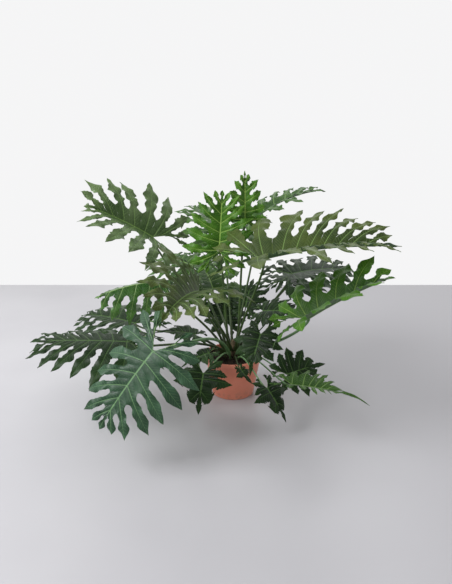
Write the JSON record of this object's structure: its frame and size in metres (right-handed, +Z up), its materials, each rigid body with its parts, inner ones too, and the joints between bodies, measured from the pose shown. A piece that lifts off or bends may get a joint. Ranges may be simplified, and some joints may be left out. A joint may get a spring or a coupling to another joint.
{
  "type": "potted split-leaf philodendron",
  "caption": "Bushy houseplant with deeply lobed, wavy-edged leaves on long arching stalks round one short stem, in a tapered terracotta-coloured plastic nursery pot",
  "frame": {"origin": "middle of the pot's base, on the floor", "axes": "+Z up, -Y towards the front of the plant, +X to its right; the foliage spreads widest along X"},
  "size_m": [1.283, 1.2407, 0.9088],
  "materials": {
    "pot_plastic": "moulded terracotta-coloured plastic with a soft gloss",
    "peat": null,
    "stem_bark": "short woody stem with pale leaf scars",
    "leaf_stalk": null,
    "old_leaf": null,
    "young_leaf": null
  },
  "bodies": {
    "root": {"pot": "pot_plastic", "soil": "peat", "stem": "stem_bark", "stalk_upper_left": "leaf_stalk", "blade_upper_left": "old_leaf", "stalk_erect_middle": "leaf_stalk", "blade_erect_middle": "old_leaf", "stalk_erect_top": "leaf_stalk", "blade_erect_top": "old_leaf", "stalk_top_right": "leaf_stalk", "blade_top_right": "old_leaf", "stalk_right_big": "leaf_stalk", "blade_right_big": "old_leaf", "stalk_right_under": "leaf_stalk", "blade_right_under": "old_leaf", "stalk_right_bright": "leaf_stalk", "blade_right_bright": "old_leaf", "stalk_centre_big": "leaf_stalk", "blade_centre_big": "old_leaf", "stalk_left_light": "leaf_stalk", "blade_left_light": "old_leaf", "stalk_left_dark": "leaf_stalk", "blade_left_dark": "old_leaf", "stalk_front_left": "leaf_stalk", "blade_front_left": "old_leaf", "stalk_left_back": "leaf_stalk", "blade_left_back": "old_leaf", "stalk_back_left": "leaf_stalk", "blade_back_left": "old_leaf", "stalk_back_top": "leaf_stalk", "blade_back_top": "old_leaf", "stalk_back_right": "leaf_stalk", "blade_back_right": "old_leaf", "stalk_back_low": "leaf_stalk", "blade_back_low": "old_leaf", "stalk_middle_right": "leaf_stalk", "blade_middle_right": "young_leaf", "stalk_front_high": "leaf_stalk", "blade_front_high": "young_leaf", "stalk_front_left_high": "leaf_stalk", "blade_front_left_high": "young_leaf", "stalk_middle_back": "leaf_stalk", "blade_middle_back": "young_leaf", "stalk_front_low": "leaf_stalk", "blade_front_low": "young_leaf", "stalk_over_rim": "leaf_stalk", "blade_over_rim": "young_leaf", "stalk_front_right_low": "leaf_stalk", "blade_front_right_low": "young_leaf", "stalk_right_low": "leaf_stalk", "blade_right_low": "young_leaf", "stalk_right_long": "leaf_stalk", "blade_right_long": "young_leaf", "stalk_middle_dark": "leaf_stalk", "blade_middle_dark": "young_leaf", "stalk_left_inner": "leaf_stalk", "blade_left_inner": "young_leaf", "stalk_back_young": "leaf_stalk", "blade_back_young": "young_leaf"}
  },
  "joints": []
}
